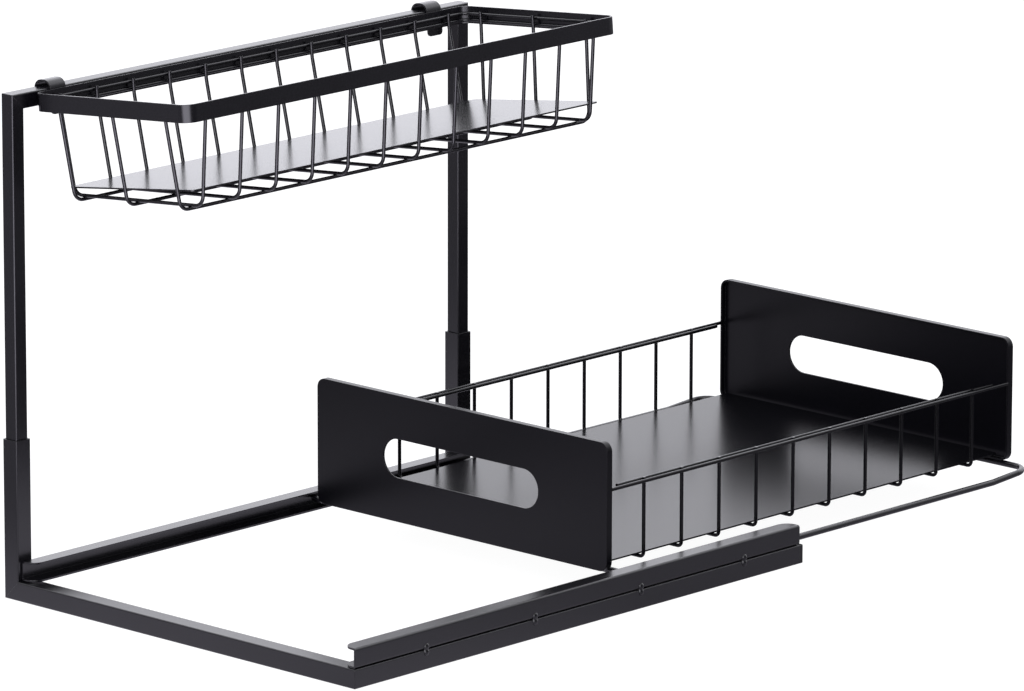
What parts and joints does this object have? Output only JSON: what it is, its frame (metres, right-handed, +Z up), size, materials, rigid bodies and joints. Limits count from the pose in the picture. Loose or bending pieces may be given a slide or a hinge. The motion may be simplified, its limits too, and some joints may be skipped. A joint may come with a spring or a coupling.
{
  "type": "two-tier countertop shelf",
  "caption": "L-shaped two-tier steel shelf: a pull-out wire drawer runs in rails on the base frame and a wire basket hooks over the raised top bar.",
  "frame": {"origin": "on the counter, at the middle of the whole shelf's footprint with the drawer pulled out as in the picture", "axes": "+Z up; the drawer pulls out towards -Y; the two posts and the basket's bar stand on the +X side"},
  "size_m": [0.3012, 0.6212, 0.3249],
  "materials": {
    "powder_coat": "satin",
    "plate_coat": "gloss",
    "plug": "matte"
  },
  "bodies": {
    "base": {"rear_post_sleeve": "powder_coat", "front_post_sleeve": "powder_coat", "front_post_foot": "plug", "end_tube": "powder_coat", "side_tube": "powder_coat", "side_tube_plug": "plug", "post_rail": "powder_coat", "side_rail": "powder_coat", "side_rail_beads": "powder_coat"},
    "upper_frame": {"rear_post": "powder_coat", "front_post": "powder_coat", "top_bar": "powder_coat"},
    "basket": {"basket_rim": "powder_coat", "upper_rim_rod": "powder_coat", "lower_rim_rod": "powder_coat", "rear_hook": "powder_coat", "front_hook": "powder_coat", "basket_cross_wire_1": "powder_coat", "basket_cross_wire_2": "powder_coat", "basket_cross_wire_3": "powder_coat", "basket_cross_wire_4": "powder_coat", "basket_cross_wire_5": "powder_coat", "basket_cross_wire_6": "powder_coat", "basket_cross_wire_7": "powder_coat", "basket_cross_wire_8": "powder_coat", "basket_cross_wire_9": "powder_coat", "basket_cross_wire_10": "powder_coat", "basket_cross_wire_11": "powder_coat", "basket_cross_wire_12": "powder_coat", "basket_long_wire_1": "powder_coat", "basket_long_wire_2": "powder_coat", "basket_long_wire_3": "powder_coat"},
    "basket_floor": {"basket_plate": "plate_coat"},
    "drawer": {"front_panel": "powder_coat", "rear_panel": "powder_coat", "post_side_outer_rim_wire": "powder_coat", "post_side_inner_rim_wire": "powder_coat", "tube_side_outer_rim_wire": "powder_coat", "tube_side_inner_rim_wire": "powder_coat", "runner": "powder_coat", "drawer_cross_wire_1": "powder_coat", "drawer_cross_wire_2": "powder_coat", "drawer_cross_wire_3": "powder_coat", "drawer_cross_wire_4": "powder_coat", "drawer_cross_wire_5": "powder_coat", "drawer_cross_wire_6": "powder_coat", "drawer_cross_wire_7": "powder_coat", "drawer_cross_wire_8": "powder_coat", "drawer_cross_wire_9": "powder_coat", "drawer_cross_wire_10": "powder_coat"},
    "drawer_floor": {"drawer_plate": "plate_coat"}
  },
  "joints": [
    {"name": "frame_lift", "type": "slide", "parent": "base", "child": "upper_frame", "axis": [0, 0, 1], "range_m": [0, 0.095]},
    {"name": "basket_lift", "type": "slide", "parent": "upper_frame", "child": "basket", "axis": [0, 0, 1], "range_m": [0, 0.03]},
    {"name": "basket_floor_lift", "type": "slide", "parent": "basket", "child": "basket_floor", "axis": [0.0872, 0, 0.9962], "range_m": [0, 0.075]},
    {"name": "drawer_slide", "type": "slide", "parent": "base", "child": "drawer", "axis": [0, -1, 0], "range_m": [-0.225, 0.09]},
    {"name": "drawer_floor_lift", "type": "slide", "parent": "drawer", "child": "drawer_floor", "axis": [0, 0, 1], "range_m": [0, 0.085]}
  ]
}
